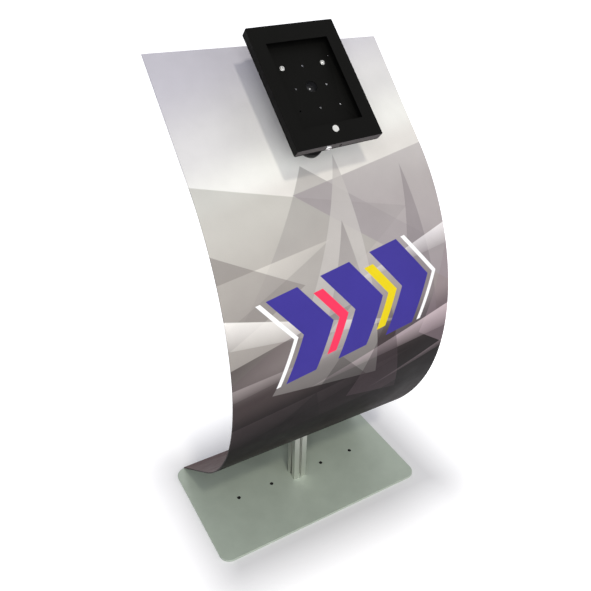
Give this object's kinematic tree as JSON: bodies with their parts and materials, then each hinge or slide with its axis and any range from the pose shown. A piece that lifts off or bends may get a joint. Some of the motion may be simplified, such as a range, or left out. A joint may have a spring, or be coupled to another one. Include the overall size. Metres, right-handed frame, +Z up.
{
  "type": "curved tablet stand",
  "caption": "Floor-standing tablet kiosk: steel base plate, slotted aluminium post, C-shaped printed sheet and a lockable tilting case with a hinged window frame.",
  "frame": {"origin": "on the post's axis, on the floor under the foam mat", "axes": "+X to the right as seen from the front, +Y to the rear, +Z up"},
  "size_m": [0.65, 0.4004, 1.2833],
  "materials": {
    "foam_mat": "fine-grained black foam",
    "plate_paint": "satin grey-green powder coat",
    "post_metal": "satin anodised",
    "screw_steel": "zinc plated, bright",
    "black_steel": "matt black powder coat",
    "black_plastic": "fine texture",
    "printed_sheet": "printed with pale facets, satin laminate",
    "rail_paint": "dark powder coat",
    "gasket_rubber": "plain",
    "black_casting": "matt black",
    "hub_nylon": "plain nylon",
    "insert_brass": "turned",
    "lock_chrome": "polished",
    "cam_steel": "zinc plated",
    "button_plastic": "pale grey, satin",
    "pad_foam": "closed-cell foam"
  },
  "bodies": {
    "stand": {"grip_mat": "foam_mat", "base_plate": "plate_paint", "post": "post_metal", "post_screw": "screw_steel", "post_pins": "screw_steel", "post_cap": "black_plastic", "curved_panel": "printed_sheet", "foot_rail": "rail_paint", "clamp_strip": "rail_paint", "strip_screws": "screw_steel", "strip_nuts": "screw_steel", "rail_screws": "screw_steel", "rail_nuts": "screw_steel", "head_bracket": "black_steel", "head_bolts": "screw_steel", "slot_nuts": "screw_steel", "front_gasket": "gasket_rubber", "front_plate": "black_casting", "clamp_screws": "screw_steel", "clamp_nuts": "screw_steel", "tilt_clevis": "black_casting", "clevis_screws": "screw_steel", "tilt_bolt": "screw_steel", "tilt_washers": "screw_steel"},
    "knob": {"tilt_knob": "black_plastic", "knob_insert": "insert_brass"},
    "tilt_head": {"tilt_tongue": "black_casting", "friction_disc": "hub_nylon", "hub_washer": "screw_steel", "hub_bolt": "screw_steel"},
    "case": {"vesa_plate": "black_steel", "vesa_screws": "screw_steel", "vesa_washers": "screw_steel", "vesa_nuts": "screw_steel", "case_tray": "black_steel", "tray_pads": "pad_foam", "lock_keeper": "cam_steel", "tray_hinge_leaf": "black_steel", "hinge_pin": "screw_steel"},
    "front_door": {"front_frame": "black_steel", "frame_hinge_leaf": "black_steel", "button_clip": "black_plastic", "lock_body": "lock_chrome", "lock_nut": "screw_steel"},
    "lock_barrel": {"lock_plug": "lock_chrome", "lock_cam": "cam_steel", "cam_screw": "screw_steel"},
    "button": {"home_button": "button_plastic"}
  },
  "joints": [
    {"name": "case_tilt", "type": "hinge", "parent": "stand", "child": "tilt_head", "pos_m": [0, 0.02342, 1.13565], "axis": [1, 0, 0], "range_deg": [-20, 20]},
    {"name": "tilt_knob_turn", "type": "hinge", "parent": "stand", "child": "knob", "pos_m": [0.0248, 0.02342, 1.13565], "axis": [1, 0, 0], "continuous": true},
    {"name": "case_rotate", "type": "hinge", "parent": "tilt_head", "child": "case", "pos_m": [0, -0.0084, 1.16746], "axis": [0, -0.7071, 0.7071], "range_deg": [-92.8, 87.2]},
    {"name": "frame_hinge", "type": "hinge", "parent": "case", "child": "front_door", "pos_m": [-0.00696, 0.0898, 1.27041], "axis": [-0.9988, -0.0345, -0.0345], "range_deg": [0, 100]},
    {"name": "lock_turn", "type": "hinge", "parent": "front_door", "child": "lock_barrel", "pos_m": [-0.02198, -0.11747, 1.07254], "axis": [-0.0488, 0.7063, 0.7063], "range_deg": [0, 90]},
    {"name": "home_press", "type": "slide", "parent": "front_door", "child": "button", "axis": [0, 0.7071, -0.7071], "range_m": [0, 0.0015], "stiffness_N_per_m": 400, "springref_m": -0.002}
  ]
}
